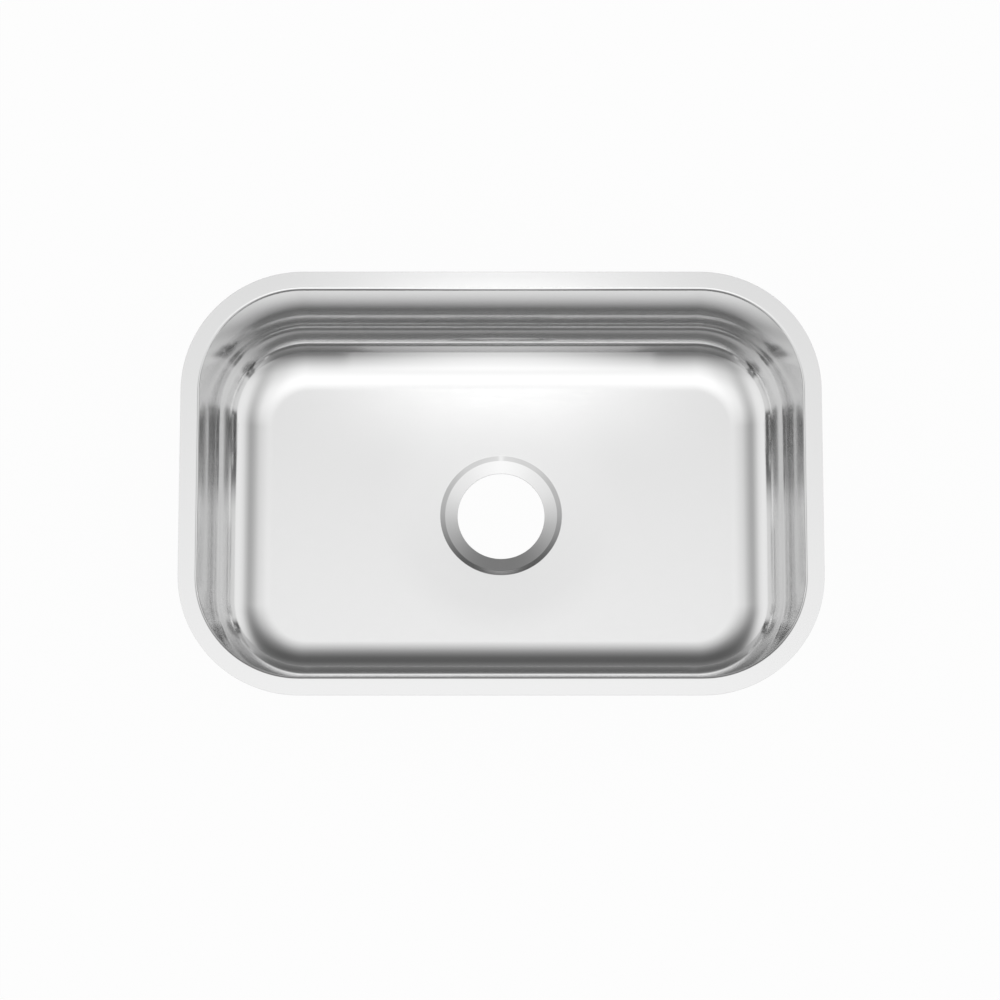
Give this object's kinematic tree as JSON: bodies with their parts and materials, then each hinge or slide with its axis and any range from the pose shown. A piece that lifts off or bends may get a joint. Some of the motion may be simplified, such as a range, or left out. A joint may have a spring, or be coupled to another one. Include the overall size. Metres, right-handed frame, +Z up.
{
  "type": "undermount kitchen sink",
  "caption": "Rectangular single-bowl undermount kitchen sink pressed from stainless sheet, with a flat flange, round corners, central drain seat and damping pads under the bowl.",
  "frame": {"origin": "centre of the bowl's opening, in the plane of the flange's top face that the worktop rests on; the drain's axis runs through it", "axes": "+Z up out of the bowl, +X along the bowl's length to the right, +Y to the back"},
  "size_m": [0.64, 0.43, 0.1762],
  "materials": {
    "steel": "stainless steel, bright walls and corners, satin floor and flange",
    "damping_pad": "matt black butyl sheet with pressed grooves"
  },
  "bodies": {
    "root": {"sink_bowl": "steel", "front_pad_left": "damping_pad", "front_pad_right": "damping_pad", "back_pad_left": "damping_pad", "back_pad_right": "damping_pad", "left_end_pad": "damping_pad", "right_end_pad": "damping_pad", "bottom_pad_left": "damping_pad", "bottom_pad_right": "damping_pad"}
  },
  "joints": []
}
